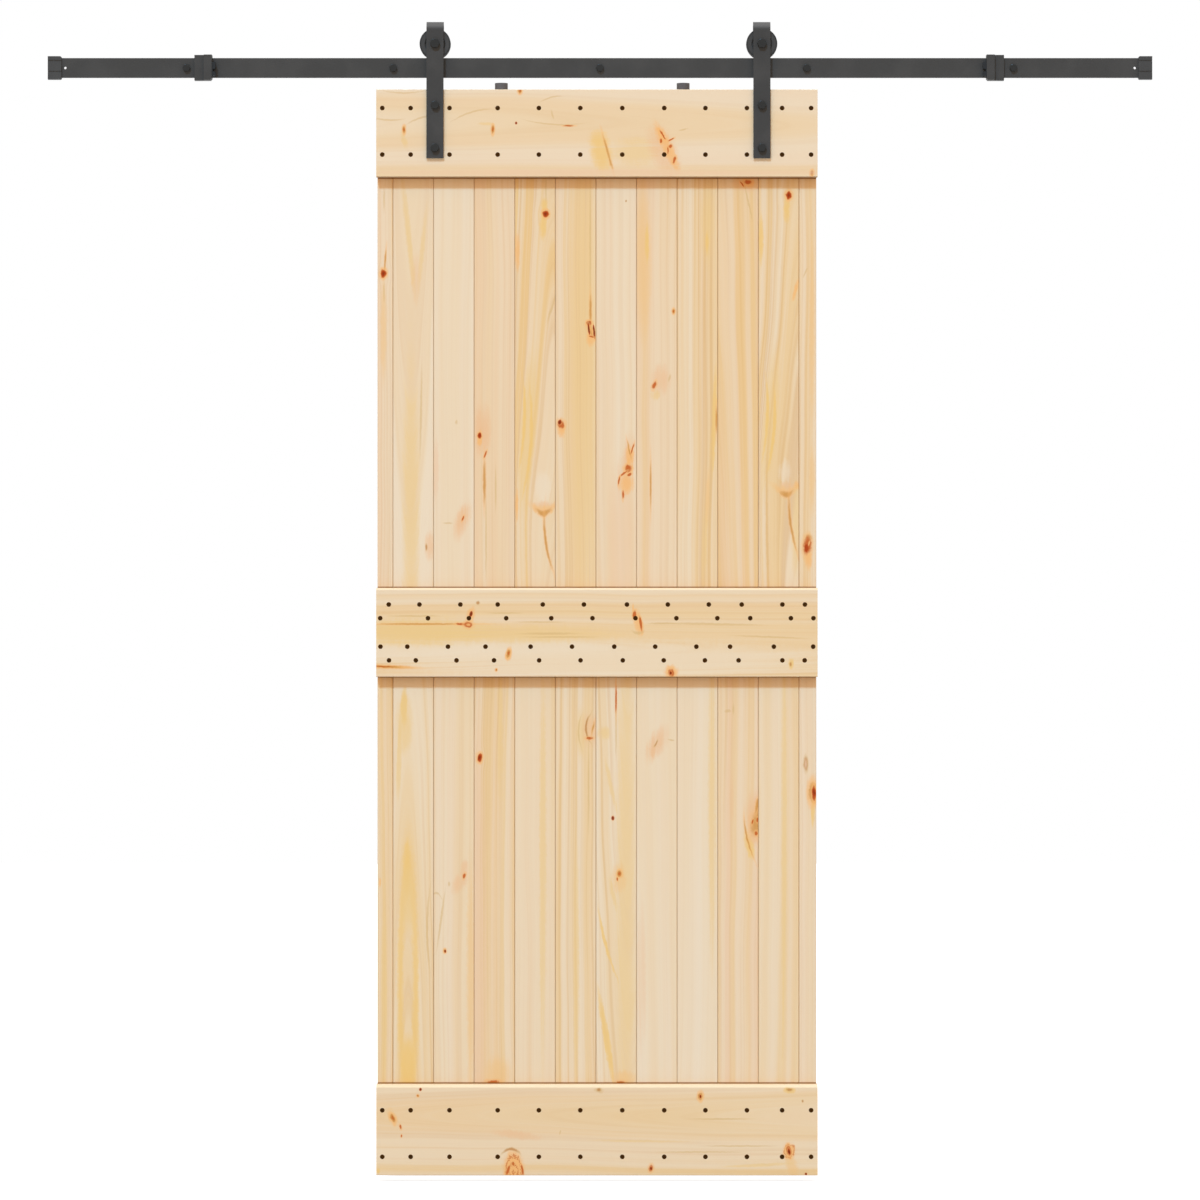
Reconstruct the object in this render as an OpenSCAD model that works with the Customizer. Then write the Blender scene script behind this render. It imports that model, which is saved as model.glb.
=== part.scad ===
// Sliding barn door on a flat wall track, in millimetres.
// +X runs along the track to the right, -Y faces the viewer, +Y faces the wall, +Z is up.
// The origin is the middle wall bolt, on the wall's face.

/* [Door leaf] */
// Height of the door leaf
door_h = 2100; // [1800:1:2400]
// Place of the door's middle along the track, at rest
door_x = -6; // [-60:1:60]
// Gap between the track's lower edge and the door's top
door_drop = 23.5; // [20:0.5:60]

/* [Planks] */
// Visible width of a full plank
plank_w = 78.65; // [70:0.05:95]
// Visible width of the ripped plank at the left edge
left_plank_w = 30; // [24:0.5:60]
// Visible width of the ripped plank at the right edge
right_plank_w = 33.5; // [24:0.5:60]
// Thickness of a plank
plank_t = 18; // [14:0.5:24]
// Chamfer on each plank's front edges, two of them make a V joint
plank_vee = 1.2; // [0.5:0.1:3]
// Open joint between two planks, in front of and behind the tongue
plank_gap = 0.5; // [0.2:0.1:1.5]
// Thickness of the tongue between two planks
tongue_t = 6; // [4:0.5:7]
// Length of the tongue
tongue_l = 6; // [4:0.5:9]
// Room around the tongue in its groove
tongue_gap = 0.3; // [0.1:0.1:0.6]

/* [Cross boards] */
// Height of the top cross board
top_board_h = 169; // [140:1:220]
// Height of the middle cross board
middle_board_h = 172; // [140:1:220]
// Height of the bottom cross board
bottom_board_h = 176; // [140:1:220]
// Thickness of each cross board
board_t = 18; // [14:0.5:22]
// Bevel on the middle board's upper front edge
middle_bevel = 4; // [1:0.5:6]
// Bevel on the bottom board's upper front edge
bottom_bevel = 6; // [1:0.5:8]
// Bevel that breaks the other long front edges of the boards
edge_bevel = 1; // [0.5:0.5:3]
// How far a cross board stands out past the planks at each side
board_overhang = 1.75; // [0:0.25:5]

/* [Wood screws] */
// Head diameter of a wood screw
screw_head_d = 9; // [7:0.1:10]
// Shank diameter of a wood screw
screw_d = 4; // [3:0.1:5]
// Length of a wood screw
screw_l = 31; // [26:0.5:34]
// Length of a wood screw's point
screw_point_l = 6; // [4:0.5:8]
// Radial room around a wood screw
screw_gap = 0.1; // [0.05:0.05:0.3]
// Distance of the outer screw row from the door's end
outer_row = 36; // [25:1:60]
// Distance of the inner screw row from the door's end
inner_row = 126; // [90:1:130]
// Distance of the middle board's near rows from its centre line
near_row = 27.5; // [15:0.5:40]
// Distance of the middle board's far rows from its centre line
far_row = 54; // [45:0.5:75]
// Sideways step between the two rows of a pair on the middle board
row_step = 16.5; // [10:0.5:20]

/* [Track] */
// Length of the track rail
rail_l = 2130; // [1900:1:2600]
// Height of the track rail
rail_h = 38; // [32:0.5:45]
// Thickness of the track rail
rail_t = 6; // [5:0.1:6.8]
// Distance between two wall bolts
bolt_pitch = 400; // [350:1:430]
// Length of the spacers that hold the rail off the wall
spacer_l = 37; // [34:0.5:60]
// Outer diameter of a spacer
spacer_d = 22; // [18:0.5:26]
// Diameter of the small hole near each end of the rail
end_hole_d = 5; // [3:0.5:8]
// Distance of that hole from the rail's end
end_hole_inset = 30; // [27:0.5:60]

/* [Wall bolts] */
// Thread diameter of a wall bolt
wall_bolt_d = 8; // [6:0.5:10]
// Shank diameter of a wall bolt, under its head
wall_shank_d = 7; // [5:0.5:7.5]
// Width across the flats of a wall bolt's head
wall_bolt_af = 13; // [11:0.5:16]
// Height of a wall bolt's head
wall_bolt_head_h = 5.3; // [4:0.1:6]
// Length of thread that goes into the wall
wall_thread_l = 40; // [30:1:70]
// Length of a wall bolt's point
wall_point_l = 8; // [5:0.5:12]
// Radial room around a wall bolt's thread
wall_bolt_gap = 0.4; // [0.2:0.1:0.8]

/* [End caps] */
// Length of an end cap along the rail
cap_l = 26.5; // [20:0.5:28]
// Wall of an end cap around the rail
cap_wall = 3.3; // [2.5:0.1:5]
// Wall of an end cap over the rail's end
cap_end = 3.5; // [2:0.1:6]
// Width of the two grooves across an end cap
cap_groove_w = 3; // [2:0.1:4]
// Depth of the two grooves
cap_groove_depth = 1.2; // [0.5:0.1:2]
// Height of the upper groove over the rail's centre line
cap_groove_up = 13.5; // [8:0.5:15]
// Depth of the lower groove under the rail's centre line
cap_groove_down = 7.5; // [4:0.5:15]
// Chamfer on an end cap's inner corners
cap_chamfer = 2; // [1:0.5:4]
// Room between the rail and what clips round it
clip_gap = 0.1; // [0.05:0.05:0.3]

/* [Rail stops] */
// Distance from the track's middle to the step in a stop
stop_x = 766; // [700:1:775]
// How much nearer to the middle the right stop is clamped than the left one
right_stop_inset = 3; // [0:0.5:20]
// Width of a stop's clamp plate
stop_plate_w = 18.5; // [14:0.5:20]
// Width of a stop's deeper block
stop_block_w = 15.5; // [12:0.5:24]
// Wall of a stop over and under the rail
stop_wall = 5.4; // [4:0.1:6]
// Depth of the clamp plate in front of the rail
stop_plate_t = 6; // [4:0.5:8]
// Depth of the block in front of the rail
stop_block_t = 14; // [10:0.5:18]
// Depth of the lips behind the rail
stop_lip_t = 4; // [3:0.5:6]
// Height of the lips behind the rail
stop_lip_h = 8; // [5:0.5:12]
// Chamfer on the block's lower inner corner
stop_chamfer = 3; // [1:0.5:5]
// Diameter of the clamp screw under a stop
stop_screw_d = 5; // [4:0.5:6]
// Key size of the clamp screw's hex socket
stop_socket_af = 2.5; // [2:0.5:3]

/* [Bumpers] */
// How far a bumper stands out of its stop
bumper_l = 7; // [5:0.5:10]
// Thickness of a bumper's foot
bumper_foot = 2; // [1:0.5:3]
// Depth of a bumper from front to back
bumper_t = 12; // [8:0.5:13]
// Top of the bumper over the rail's centre line
bumper_top = 11; // [8:0.5:13]
// Bottom of the bumper under the rail's centre line
bumper_bottom = 17; // [14:0.5:18]
// Height of the gap between a bumper's two pads
bumper_slot = 5; // [3:0.5:8]
// Height of the lower pad
bumper_pad_h = 9; // [6:0.5:10]
// Chamfer on the pads
bumper_chamfer = 1.5; // [0.5:0.5:3]

/* [Hangers] */
// Distance of each hanger from the middle between the two
hanger_x = 316; // [250:1:350]
// How far the middle between the hangers lies to the right of the door's middle
hanger_shift = 3; // [-20:0.5:20]
// Width of a hanger strap
strap_w = 33; // [28:0.5:40]
// Thickness of a hanger strap
strap_t = 5; // [4:0.5:6]
// Room between a strap's two legs
strap_gap = 23; // [22:0.5:26]
// Height of a strap's top over the axle
strap_rise = 42.8; // [40:0.1:60]
// Length of a strap's back leg under the axle
back_leg_drop = 17; // [14:0.5:20]
// Length of strap on the door
strap_on_door = 133; // [120:1:180]
// Distance of the upper door bolt from the door's top
upper_bolt_drop = 30.5; // [20:0.5:50]
// Distance of the lower door bolt from the door's top
lower_bolt_drop = 113; // [90:0.5:120]

/* [Hanger bolts] */
// Diameter of the door bolts and axles
bolt_d = 10; // [8:0.5:12]
// Width across the flats of the axles' heads and of all the nuts
bolt_af = 16; // [15:0.5:19]
// Width across the flats of the door bolts' heads
door_bolt_af = 14.5; // [13:0.5:19]
// Height of their heads
bolt_head_h = 6.4; // [5:0.1:8]
// Height of the nuts
nut_h = 6; // [4:0.5:7]
// Thread that shows past a nut
nut_tail = 1.5; // [0.5:0.1:2]
// Radial room around a bolt
bolt_gap = 0.5; // [0.2:0.1:1]
// Radial room in a nut's thread
thread_gap = 0.05; // [0.02:0.01:0.2]
// Diameter of the washers behind the door
washer_d = 21; // [18:0.5:30]
// Thickness of the washers
washer_t = 1.8; // [1:0.1:2.5]

/* [Wheels] */
// Diameter of a wheel over its flanges
wheel_d = 60; // [56:0.5:66]
// Diameter of a wheel at the bottom of its groove
tread_d = 54; // [48:0.5:55]
// Width of a wheel
wheel_w = 20; // [17:0.5:21.5]
// Width of the groove that runs on the rail
groove_w = 7; // [6.8:0.1:9]
// Slope of each groove wall, as a widening at the rim
groove_flare = 1; // [0:0.1:2]
// Running gap between the tread and the rail
tread_gap = 0.2; // [0.1:0.1:0.5]
// Radial thickness of a wheel's rim
rim_t = 7; // [5:0.5:8]
// Depth of the dish in each side of a wheel
dish = 2; // [0.5:0.5:4]
// Radial wall of a wheel's hub around the bearing
hub_wall = 4; // [3:0.5:5]
// Chamfer on a wheel's outer edges
wheel_chamfer = 1; // [0.5:0.1:2]

/* [Bearings] */
// Outer diameter of a bearing
bearing_d = 26; // [24:0.5:28]
// Width of a bearing
bearing_w = 8; // [7:0.5:10]
// Diameter of the ball circle
ball_circle_d = 18; // [17:0.5:19]
// Diameter of a ball
ball_d = 4.6; // [4:0.1:4.8]
// Number of balls
ball_count = 7; // [5:1:8]
// Running gap between a ball and its track
ball_gap = 0.15; // [0.1:0.05:0.2]
// Width of the open gap between the races
race_gap = 3.4; // [3:0.1:3.8]
// Radial room between the axle and what sits on it
axle_gap = 0.05; // [0.02:0.01:0.2]
// Wall of the distance sleeves on the axle
sleeve_wall = 2; // [1.5:0.1:3]

/* [Anti-jump discs] */
// Diameter of a disc
disc_d = 25; // [20:0.5:28]
// Height of a disc
disc_h = 13; // [8:0.5:15]
// Distance of the left disc from the door's middle
left_disc_x = 185; // [100:1:240]
// Distance of the right disc from the door's middle
right_disc_x = 167; // [100:1:240]
// Distance of a disc's screw from the disc's centre
disc_offset = 4.5; // [0:0.5:6]
// Length of a disc's screw
disc_screw_l = 40; // [32:1:44]

/* [Hidden] */
$fn = 64;

LEFT = -1;
RIGHT = 1;
SIDES = [LEFT, RIGHT];
cut = 1;                                // how far a cutter runs past the face that it opens
bolt_spots = [-2, -1, 0, 1, 2];         // wall bolts along the track, counted from the middle
last_plank = 11;                        // planks are counted from 0 at the left edge
full_planks = last_plank - 1;

// Depths, from the wall towards the viewer
rail_back = -spacer_l;
rail_y = rail_back - rail_t / 2;
rail_front = rail_back - rail_t;
front_leg_back = rail_y - strap_gap / 2;
front_leg_front = front_leg_back - strap_t;
back_leg_front = rail_y + strap_gap / 2;
back_leg_back = back_leg_front + strap_t;
board_front = front_leg_back;
board_back = board_front + board_t;
plank_y = board_back + plank_t / 2;
plank_back = board_back + plank_t;

// Heights, from the rail's centre line
rail_top = rail_h / 2;
door_top = -rail_top - door_drop;
door_bottom = door_top - door_h;
door_mid = (door_top + door_bottom) / 2;
axle_z = rail_top + tread_d / 2 + tread_gap;
strap_top = axle_z + strap_rise;
strap_bottom = door_top - strap_on_door;
bend_r = strap_gap / 2 + strap_t;
bend_z = strap_top - bend_r;
clip_h = rail_h + 2 * clip_gap;
clip_t = rail_t + 2 * clip_gap;

// Planks, from the door's left edge
door_w = left_plank_w + full_planks * plank_w + right_plank_w;
function width(i) = i == 0 ? left_plank_w : i == last_plank ? right_plank_w : plank_w;
function left_edge(i) = i == 0 ? 0 : left_plank_w + (i - 1) * plank_w;
function plank_mid(i) = left_edge(i) + width(i) / 2 - door_w / 2;

// Screws: each plank has one in every row, set off from the plank's centre line by hand
end_shift = [-5, -4.5, -8, 6.5, 7.5, 9, 11.5, 14, 15, 16.5, 6, 6];
above_shift = [7.5, 12.5, 13, 6.5, 15, 16, 20.5, 21, 21.5, 6.5, 6.5, -6];
below_shift = [-8.5, -11, -11, -17, -8.5, -7, -4, -3.5, -2.5, -16, -10, 10];
// The second row of a pair steps to the right, but on one edge plank it steps back to stay on the wood
above_step = [for (i = [0 : last_plank]) i == 0 ? -row_step : row_step];
below_step = [for (i = [0 : last_plank]) i == last_plank ? -row_step : row_step];
function row(z, shift) = [for (i = [0 : last_plank]) [plank_mid(i) + shift[i], z]];
top_spots = concat(row(door_top - outer_row, end_shift), row(door_top - inner_row, end_shift));
bottom_spots = concat(row(door_bottom + outer_row, end_shift), row(door_bottom + inner_row, end_shift));
above_spots = concat(
  row(door_mid + far_row, above_shift), row(door_mid + near_row, above_shift + above_step)
);
below_spots = concat(
  row(door_mid - near_row, below_shift), row(door_mid - far_row, below_shift + below_step)
);
function hanger_place(side) = side * hanger_x + hanger_shift;
door_bolt_spots = [
  for (s = SIDES) for (drop = [upper_bolt_drop, lower_bolt_drop]) [hanger_place(s), door_top - drop]
];
function near_plank(i, spots, r) =
  [for (p = spots) if (abs(p[0] - plank_mid(i)) < width(i) / 2 + tongue_l + r) p];

// Extrudes a (y, z) outline along X, centred
module along_x(l) {
  translate([-l / 2, 0, 0]) rotate([90, 0, 90]) linear_extrude(l) children();
}

// Extrudes an (x, z) outline along Y, from y0 to y1
module along_y(y0, y1) {
  translate([0, y1, 0]) rotate([90, 0, 0]) linear_extrude(y1 - y0) children();
}

// Turns a piece that points along +Z so that it points to the wall
module to_wall() {
  rotate([-90, 0, 0]) children();
}

// Builds the piece for the right-hand end, mirrored for the left one
module at_end(side) {
  mirror([side == LEFT ? 1 : 0, 0, 0]) children();
}

// Puts a stop's piece where its stop is clamped
module at_stop(side) {
  translate([side == LEFT ? 0 : -right_stop_inset, 0, 0]) at_end(side) children();
}

// Puts a piece in the door's own frame
module on_door() {
  translate([door_x, 0, 0]) children();
}

// Puts a wheel's piece, made around the Z axis, on a hanger's axle
module on_axle(side) {
  translate([door_x + hanger_place(side), rail_y, axle_z]) to_wall() children();
}

module ring(r_out, r_in, h) {
  difference() {
    cylinder(r = r_out, h = h);
    translate([0, 0, -cut]) cylinder(r = r_in, h = h + 2 * cut);
  }
}

module hexagon(af, h) {
  cylinder(d = af / cos(30), h = h, $fn = 6);
}

// Hex head with its corners turned off, outer face at -h and seat at 0
module hex_head(af, h) {
  translate([0, 0, -h]) intersection() {
    hexagon(af, h);
    cylinder(r1 = 0.95 * af / 2, r2 = 0.95 * af / 2 + h * tan(60), h = h);
  }
}

module hex_bolt(l, af) {
  hex_head(af, bolt_head_h);
  cylinder(d = bolt_d, h = l);
}

// Nut with its seat at 0
module nut() {
  difference() {
    mirror([0, 0, 1]) hex_head(bolt_af, nut_h);
    translate([0, 0, -cut]) cylinder(r = bolt_d / 2 + thread_gap, h = nut_h + 2 * cut);
  }
}

// Countersunk screw outline, grown by room, from its head's face at z0
module screw_form(l, room, z0) {
  head_r = screw_head_d / 2 + room;
  shank_r = screw_d / 2 + room;
  rim = 0.5;
  rotate_extrude() polygon([
    [0, z0], [head_r, z0], [head_r, rim], [shank_r, rim + head_r - shank_r],
    [shank_r, l - screw_point_l], [0, l + room]
  ]);
}

module wood_screw(l) {
  recess_l = 0.52 * screw_head_d;
  recess_w = 0.12 * screw_head_d;
  recess_depth = 0.22 * screw_head_d;
  difference() {
    screw_form(l, 0, 0);
    for (a = [0, 90])
      rotate([0, 0, a + 45]) translate([-recess_l / 2, -recess_w / 2, -cut])
        cube([recess_l, recess_w, recess_depth + cut]);
  }
}

module board_screws(spots) {
  color("#2a2320") on_door()
    for (p = spots) translate([p[0], board_front, p[1]]) to_wall() wood_screw(screw_l);
}

module screw_holes(spots) {
  for (p = spots) translate([p[0], board_front, p[1]]) to_wall() screw_form(screw_l, screw_gap, -cut);
}

module bolt_holes(spots) {
  for (p = spots) translate([p[0], front_leg_front - cut, p[1]]) to_wall()
    cylinder(r = bolt_d / 2 + bolt_gap, h = plank_back - front_leg_front + 2 * cut);
}

module track_rail() {
  color("#4b4b4b") difference() {
    translate([-rail_l / 2, rail_front, -rail_top]) cube([rail_l, rail_t, rail_h]);
    for (n = bolt_spots) translate([n * bolt_pitch, rail_front - cut, 0]) to_wall()
      cylinder(r = wall_bolt_d / 2 + wall_bolt_gap, h = rail_t + 2 * cut);
    for (s = SIDES) translate([s * (rail_l / 2 - end_hole_inset), rail_front - cut, 0]) to_wall()
      cylinder(d = end_hole_d, h = rail_t + 2 * cut);
  }
}

module rail_spacers() {
  color("#454545") for (n = bolt_spots) translate([n * bolt_pitch, rail_back, 0]) to_wall()
    ring(spacer_d / 2, wall_bolt_d / 2 + wall_bolt_gap, spacer_l);
}

module wall_bolts() {
  shank_l = spacer_l + rail_t;
  color("#363636") for (n = bolt_spots) translate([n * bolt_pitch, rail_front, 0]) to_wall() {
    hex_head(wall_bolt_af, wall_bolt_head_h);
    cylinder(d = wall_shank_d, h = shank_l);
    translate([0, 0, shank_l]) cylinder(d = wall_bolt_d, h = wall_thread_l);
    translate([0, 0, shank_l + wall_thread_l]) cylinder(d1 = wall_bolt_d, d2 = 0, h = wall_point_l);
  }
}

module end_cap(side) {
  outer_x = rail_l / 2 + cap_end;
  inner_x = outer_x - cap_l;
  top = clip_h / 2 + cap_wall;
  y0 = rail_y - clip_t / 2 - cap_wall;
  y1 = rail_y + clip_t / 2 + cap_wall;
  color("#474747") at_end(side) difference() {
    along_y(y0, y1) polygon([
      [outer_x, -top], [outer_x, top], [inner_x + cap_chamfer, top], [inner_x, top - cap_chamfer],
      [inner_x, -top + cap_chamfer], [inner_x + cap_chamfer, -top]
    ]);
    translate([inner_x - cut, rail_y - clip_t / 2, -clip_h / 2])
      cube([cap_l - cap_end + clip_gap + cut, clip_t, clip_h]);
    for (z = [cap_groove_up, -cap_groove_down]) for (y = [y0 - cut, y1 - cap_groove_depth])
      translate([inner_x - cut, y, z - cap_groove_w / 2])
        cube([cap_l + 2 * cut, cap_groove_depth + cut, cap_groove_w]);
  }
}

// Clamp section round the rail, open behind between its two lips
module clamp_section(front) {
  top = clip_h / 2 + stop_wall;
  lip = clip_h / 2 - stop_lip_h;
  difference() {
    translate([rail_y - clip_t / 2 - front, -top]) square([front + clip_t + stop_lip_t, 2 * top]);
    translate([rail_y - clip_t / 2, -clip_h / 2]) square([clip_t, clip_h]);
    translate([rail_y, -lip]) square([clip_t / 2 + stop_lip_t + cut, 2 * lip]);
  }
}

stop_inner_x = stop_x - stop_block_w;
stop_screw_x = stop_x + stop_plate_w / 2;
stop_bottom = -clip_h / 2 - stop_wall;
stop_block_front = rail_y - clip_t / 2 - stop_block_t;

module rail_stop(side) {
  color("#4a4a4a") at_stop(side) difference() {
    union() {
      translate([stop_x + stop_plate_w / 2, 0, 0]) along_x(stop_plate_w) clamp_section(stop_plate_t);
      translate([stop_x - stop_block_w / 2, 0, 0]) along_x(stop_block_w) clamp_section(stop_block_t);
    }
    along_y(stop_block_front - cut, rail_back + stop_lip_t + 2 * cut) polygon([
      [stop_inner_x - cut, stop_bottom - cut], [stop_inner_x + stop_chamfer, stop_bottom - cut],
      [stop_inner_x + stop_chamfer, stop_bottom], [stop_inner_x, stop_bottom + stop_chamfer],
      [stop_inner_x - cut, stop_bottom + stop_chamfer]
    ]);
    translate([stop_screw_x, rail_y, stop_bottom - cut])
      cylinder(r = stop_screw_d / 2 + thread_gap, h = stop_wall + 2 * cut);
  }
}

module stop_screws() {
  screw_h = stop_wall + clip_gap;
  socket_depth = screw_h / 2;
  color("#303030") for (s = SIDES) at_stop(s) translate([stop_screw_x, rail_y, stop_bottom]) difference() {
    cylinder(d = stop_screw_d, h = screw_h);
    translate([0, 0, -cut]) hexagon(stop_socket_af, socket_depth + cut);
  }
}

// One pad of a bumper, an (x, z) outline that stands out from the foot towards the door
module bumper_pad(z0, z1) {
  tip = stop_inner_x - bumper_l;
  foot = stop_inner_x - bumper_foot;
  polygon([
    [foot, z0], [foot, z1], [tip + bumper_chamfer, z1], [tip, z1 - bumper_chamfer],
    [tip, z0 + bumper_chamfer], [tip + bumper_chamfer, z0]
  ]);
}

module stop_bumper(side) {
  slot_bottom = bumper_pad_h - bumper_bottom;
  y0 = stop_block_front + bumper_foot / 2;
  color("#1e1e1e") at_stop(side) along_y(y0, y0 + bumper_t) {
    translate([stop_inner_x - bumper_foot, -bumper_bottom])
      square([bumper_foot, bumper_top + bumper_bottom]);
    bumper_pad(-bumper_bottom, slot_bottom);
    bumper_pad(slot_bottom + bumper_slot, bumper_top);
  }
}

// Plank outline in (x, y), centred: V chamfers in front, a groove at the left and a tongue at the right
module plank_section(i) {
  left = -width(i) / 2 + (i == 0 ? 0 : plank_gap / 2);
  right = width(i) / 2 - (i == last_plank ? 0 : plank_gap / 2);
  front = -plank_t / 2;
  back = plank_t / 2;
  tongue = tongue_t / 2;
  tip = right + tongue_l;
  groove = tongue + tongue_gap;
  groove_end = left + tongue_l + tongue_gap;
  polygon(concat(
    [[left + plank_vee, front], [right - plank_vee, front], [right, front + plank_vee]],
    i == last_plank ? [] : [[right, -tongue], [tip, -tongue], [tip, tongue], [right, tongue]],
    [[right, back], [left, back]],
    i == 0 ? [] : [[left, groove], [groove_end, groove], [groove_end, -groove], [left, -groove]],
    [[left, front + plank_vee]]
  ));
}

module plank(i, z0, z1, spots) {
  color("#e6cda8") on_door() difference() {
    translate([plank_mid(i), plank_y, z0]) linear_extrude(z1 - z0) plank_section(i);
    screw_holes(near_plank(i, spots, screw_d));
    if (z1 == door_top) bolt_holes(near_plank(i, door_bolt_spots, bolt_d));
  }
}

module plank_upper(i) {
  plank(i, door_mid, door_top, concat(top_spots, above_spots));
}

module plank_lower(i) {
  plank(i, door_bottom, door_mid, concat(bottom_spots, below_spots));
}

// Cross board from z0 to z1, its upper front edge bevelled by its own amount
module board(z0, z1, bevel, spots) {
  color("#ecd3ab") on_door() difference() {
    along_x(door_w + 2 * board_overhang) polygon([
      [board_back, z0], [board_front + edge_bevel, z0], [board_front, z0 + edge_bevel],
      [board_front, z1 - bevel], [board_front + bevel, z1], [board_back, z1]
    ]);
    screw_holes(spots);
    children();
  }
}

disc_screw_y = (board_front + board_back) / 2;
disc_y = disc_screw_y + disc_offset;
function disc_x(side) = side == LEFT ? -left_disc_x : right_disc_x;

// Screw of an anti-jump disc, pointing down from the disc's top, or its hole
module disc_screw_place(side) {
  translate([disc_x(side), disc_screw_y, door_top + disc_h]) rotate([180, 0, 0]) children();
}

module board_top() {
  board(door_top - top_board_h, door_top, edge_bevel, top_spots) {
    bolt_holes(door_bolt_spots);
    for (s = SIDES) disc_screw_place(s) screw_form(disc_screw_l, screw_gap, -cut);
  }
}

module board_middle() {
  half = middle_board_h / 2;
  board(door_mid - half, door_mid + half, middle_bevel, concat(above_spots, below_spots));
}

module board_bottom() {
  board(door_bottom, door_bottom + bottom_board_h, bottom_bevel, bottom_spots);
}

module anti_jump_disc(side) {
  color("#646162") on_door() difference() {
    translate([disc_x(side), disc_y, door_top]) cylinder(d = disc_d, h = disc_h);
    disc_screw_place(side) screw_form(disc_screw_l, screw_gap, -cut);
  }
}

module disc_screws() {
  color("#333333") on_door() for (s = SIDES) disc_screw_place(s) wood_screw(disc_screw_l);
}

// Strap outline in (y, z): a long front leg, a half-round bend over the wheel and a short back leg
module strap_section() {
  back_leg_end = axle_z - back_leg_drop;
  translate([front_leg_front, strap_bottom]) square([strap_t, bend_z - strap_bottom]);
  translate([back_leg_front, back_leg_end]) square([strap_t, bend_z - back_leg_end]);
  translate([rail_y, bend_z]) difference() {
    circle(r = bend_r);
    circle(r = bend_r - strap_t);
    translate([-2 * bend_r, -2 * bend_r]) square([4 * bend_r, 2 * bend_r]);
  }
}

module hanger_strap(side) {
  bolt_r = bolt_d / 2 + bolt_gap;
  color("#4b4b4b") translate([door_x + hanger_place(side), 0, 0]) difference() {
    along_x(strap_w) strap_section();
    for (drop = [upper_bolt_drop, lower_bolt_drop])
      translate([0, front_leg_front - cut, door_top - drop]) to_wall()
        cylinder(r = bolt_r, h = strap_t + 2 * cut);
    translate([0, front_leg_front - cut, axle_z]) to_wall()
      cylinder(r = bolt_d / 2 + axle_gap, h = back_leg_back - front_leg_front + 2 * cut);
  }
}

module door_bolts() {
  grip = plank_back - front_leg_front + washer_t + nut_h + nut_tail;
  color("#363636") on_door()
    for (p = door_bolt_spots) translate([p[0], front_leg_front, p[1]]) to_wall() hex_bolt(grip, door_bolt_af);
}

module door_washers() {
  color("#3a3a3a") on_door() for (p = door_bolt_spots) translate([p[0], plank_back, p[1]]) to_wall()
    ring(washer_d / 2, bolt_d / 2 + bolt_gap, washer_t);
}

module door_nuts() {
  color("#363636") on_door() for (p = door_bolt_spots)
    translate([p[0], plank_back + washer_t, p[1]]) to_wall() nut();
}

module axle_bolts() {
  grip = back_leg_back - front_leg_front + nut_h + nut_tail;
  color("#363636") for (s = SIDES) translate([0, front_leg_front - rail_y, 0]) on_axle(s)
    hex_bolt(grip, bolt_af);
}

module axle_nuts() {
  color("#363636") for (s = SIDES) translate([0, back_leg_back - rail_y, 0]) on_axle(s) nut();
}

module axle_sleeves() {
  sleeve_l = (strap_gap - bearing_w) / 2;
  bore = bolt_d / 2 + axle_gap;
  color("#5a5a5a") for (s = SIDES) on_axle(s) for (z = [-strap_gap / 2, bearing_w / 2])
    translate([0, 0, z]) ring(bore + sleeve_wall, bore, sleeve_l);
}

// Ball race between two radii, with the balls' track cut into it
module race(r_in, r_out) {
  rotate_extrude() difference() {
    translate([r_in, -bearing_w / 2]) square([r_out - r_in, bearing_w]);
    translate([ball_circle_d / 2, 0]) circle(r = ball_d / 2 + ball_gap);
  }
}

module bearing_inner(side) {
  color("#b8bcc0") on_axle(side) race(bolt_d / 2 + axle_gap, ball_circle_d / 2 - race_gap / 2);
}

module bearing_outer(side) {
  color("#b8bcc0") on_axle(side) race(ball_circle_d / 2 + race_gap / 2, bearing_d / 2);
}

module bearing_balls(side) {
  color("#d8dade") on_axle(side) for (n = [0 : ball_count - 1])
    rotate([0, 0, n * 360 / ball_count]) translate([ball_circle_d / 2, 0, 0]) sphere(d = ball_d);
}

module wheel(side) {
  r = wheel_d / 2;
  half = wheel_w / 2;
  bore = bearing_d / 2;
  hub_r = bore + hub_wall;
  rim_r = tread_d / 2 - rim_t;
  groove = groove_w / 2;
  color("#3a3a3a") on_axle(side) rotate_extrude() polygon([
    [bore, -half + dish], [hub_r, -half + dish], [hub_r, -half + 2 * dish], [rim_r, -half + 2 * dish],
    [rim_r, -half], [r - wheel_chamfer, -half], [r, -half + wheel_chamfer],
    [r, -groove - groove_flare], [tread_d / 2, -groove], [tread_d / 2, groove], [r, groove + groove_flare],
    [r, half - wheel_chamfer], [r - wheel_chamfer, half], [rim_r, half],
    [rim_r, half - 2 * dish], [hub_r, half - 2 * dish], [hub_r, half - dish], [bore, half - dish]
  ]);
}

track_rail();
rail_spacers();
wall_bolts();
end_cap(LEFT);  // end_cap_left
end_cap(RIGHT);  // end_cap_right
rail_stop(LEFT);  // rail_stop_left
rail_stop(RIGHT);  // rail_stop_right
stop_bumper(LEFT);  // stop_bumper_left
stop_bumper(RIGHT);  // stop_bumper_right
stop_screws();
plank_upper(0);  // plank_upper_01
plank_upper(1);  // plank_upper_02
plank_upper(2);  // plank_upper_03
plank_upper(3);  // plank_upper_04
plank_upper(4);  // plank_upper_05
plank_upper(5);  // plank_upper_06
plank_upper(6);  // plank_upper_07
plank_upper(7);  // plank_upper_08
plank_upper(8);  // plank_upper_09
plank_upper(9);  // plank_upper_10
plank_upper(10);  // plank_upper_11
plank_upper(last_plank);  // plank_upper_12
plank_lower(0);  // plank_lower_01
plank_lower(1);  // plank_lower_02
plank_lower(2);  // plank_lower_03
plank_lower(3);  // plank_lower_04
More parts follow.
